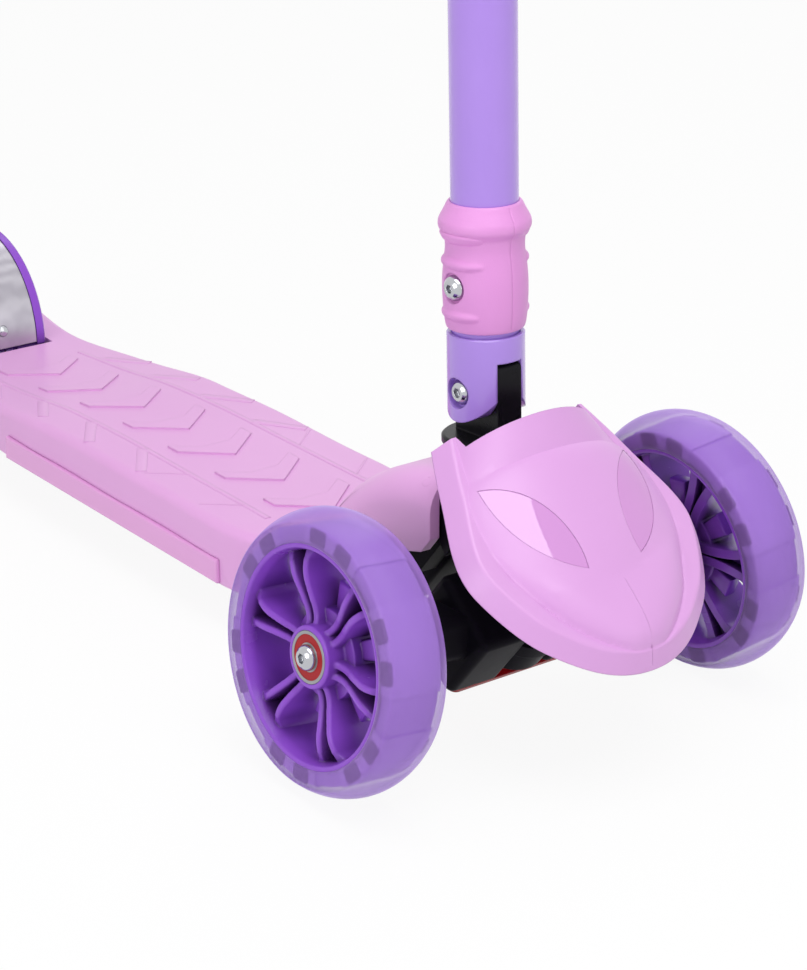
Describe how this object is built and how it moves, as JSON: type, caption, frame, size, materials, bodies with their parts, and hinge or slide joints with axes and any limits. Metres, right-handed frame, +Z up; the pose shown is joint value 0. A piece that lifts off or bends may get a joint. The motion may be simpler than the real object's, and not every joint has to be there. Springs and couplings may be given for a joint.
{
  "type": "kick scooter",
  "caption": "Children's kick scooter with leaning front wheels, folding stem, telescopic T-bar, treaded footboard and a rear mudguard brake.",
  "frame": {"origin": "on the ground, at the centre of the bounding box", "axes": "+X forward, +Y to the rider's left, +Z up"},
  "size_m": [0.6067, 0.2712, 0.7111],
  "materials": {
    "pink_plastic": "satin moulded pink",
    "pink_gloss": "polished pink",
    "pink_rubber": "soft ribbed pink",
    "lilac_paint": "glossy lilac powder coat",
    "purple_plastic": "glossy purple",
    "purple_tyre": "translucent purple",
    "light_block": "pale",
    "black_plastic": "satin black",
    "black_paint": "satin black",
    "red_plastic": "red",
    "chrome": "bright",
    "steel": "plain",
    "aluminium": "satin",
    "mirror_steel": "polished"
  },
  "bodies": {
    "deck": {"deck": "pink_plastic", "side_trim_left": "pink_gloss", "side_trim_right": "pink_gloss", "nose_cover": "pink_plastic", "nose_inset_left": "pink_gloss", "nose_inset_right": "pink_gloss", "steering_head": "black_plastic", "steering_bush": "black_plastic", "stem_base": "black_paint", "rear_axle_bolt": "chrome", "rear_axle_nut": "chrome", "rear_spacers": "steel", "brake_pin": "steel", "brake_spring": "steel"},
    "truck": {"truck": "black_plastic", "truck_bottom_cover": "red_plastic", "steering_pivot_bolt": "steel", "steering_pivot_nut": "steel", "front_axle_bolt_left": "chrome", "front_axle_bolt_right": "chrome", "front_spacer_left": "steel", "front_spacer_right": "steel"},
    "rear_wheel": {"rear_tyre": "purple_tyre", "rear_rim": "purple_plastic", "rear_bearings": "steel", "rear_seals": "red_plastic"},
    "stem": {"fold_fork": "lilac_paint", "fold_bolt": "chrome", "fold_nut": "chrome", "stem_tube": "lilac_paint", "spring_stop": "black_plastic", "lock_spring": "steel", "height_clamp": "purple_plastic", "clamp_bolt": "chrome"},
    "sleeve": {"lock_sleeve": "pink_plastic", "sleeve_bolt": "chrome", "lock_plunger": "black_plastic"},
    "lever": {"clamp_lever": "purple_plastic"},
    "handlebar": {"inner_tube": "aluminium", "handlebar_head": "purple_plastic", "crossbar": "steel", "grip_left": "pink_rubber", "grip_right": "pink_rubber", "grip_plug_left": "purple_plastic", "grip_plug_right": "purple_plastic"},
    "brake": {"mudguard": "purple_plastic", "brake_plate": "mirror_steel", "brake_rivets": "chrome"},
    "front_wheel_left": {"front_tyre_left": "purple_tyre", "front_rim_left": "purple_plastic", "front_lights_left": "light_block", "front_bearings_left": "steel", "front_seals_left": "red_plastic"},
    "front_wheel_right": {"front_tyre_right": "purple_tyre", "front_rim_right": "purple_plastic", "front_lights_right": "light_block", "front_bearings_right": "steel", "front_seals_right": "red_plastic"}
  },
  "joints": [
    {"name": "truck_lean", "type": "hinge", "parent": "deck", "child": "truck", "pos_m": [0.22106, 0, 0.052], "axis": [0.6157, 0, 0.788], "range_deg": [-15, 15], "stiffness_Nm_per_rad": 25},
    {"name": "front_left_spin", "type": "hinge", "parent": "truck", "child": "front_wheel_left", "pos_m": [0.22106, 0.1, 0.0598], "axis": [0, 0.9945, 0.1045], "continuous": true},
    {"name": "front_right_spin", "type": "hinge", "parent": "truck", "child": "front_wheel_right", "pos_m": [0.22106, -0.1, 0.0598], "axis": [0, 0.9945, -0.1045], "continuous": true},
    {"name": "rear_spin", "type": "hinge", "parent": "deck", "child": "rear_wheel", "pos_m": [-0.26294, 0, 0.04], "axis": [0, 1, 0], "continuous": true},
    {"name": "brake_press", "type": "hinge", "parent": "deck", "child": "brake", "pos_m": [-0.21494, 0, 0.032], "axis": [0, -1, 0], "range_deg": [0, 6.5], "stiffness_Nm_per_rad": 2, "springref_deg": -8.59, "deforming": ["brake_spring"]},
    {"name": "stem_fold", "type": "hinge", "parent": "deck", "child": "stem", "pos_m": [0.19226, 0, 0.1453], "axis": [0, -1, 0], "range_deg": [0, 86]},
    {"name": "sleeve_lift", "type": "slide", "parent": "stem", "child": "sleeve", "axis": [-0.0651, 0, 0.9979], "range_m": [0, 0.012], "stiffness_N_per_m": 800, "springref_m": -0.01, "deforming": ["lock_spring"]},
    {"name": "lever_open", "type": "hinge", "parent": "stem", "child": "lever", "pos_m": [0.14832, 0.0155, 0.4581], "axis": [-0.0651, 0, 0.9979], "range_deg": [0, 110]},
    {"name": "bar_height", "type": "slide", "parent": "stem", "child": "handlebar", "axis": [-0.0651, 0, 0.9979], "range_m": [0, 0.11]}
  ]
}
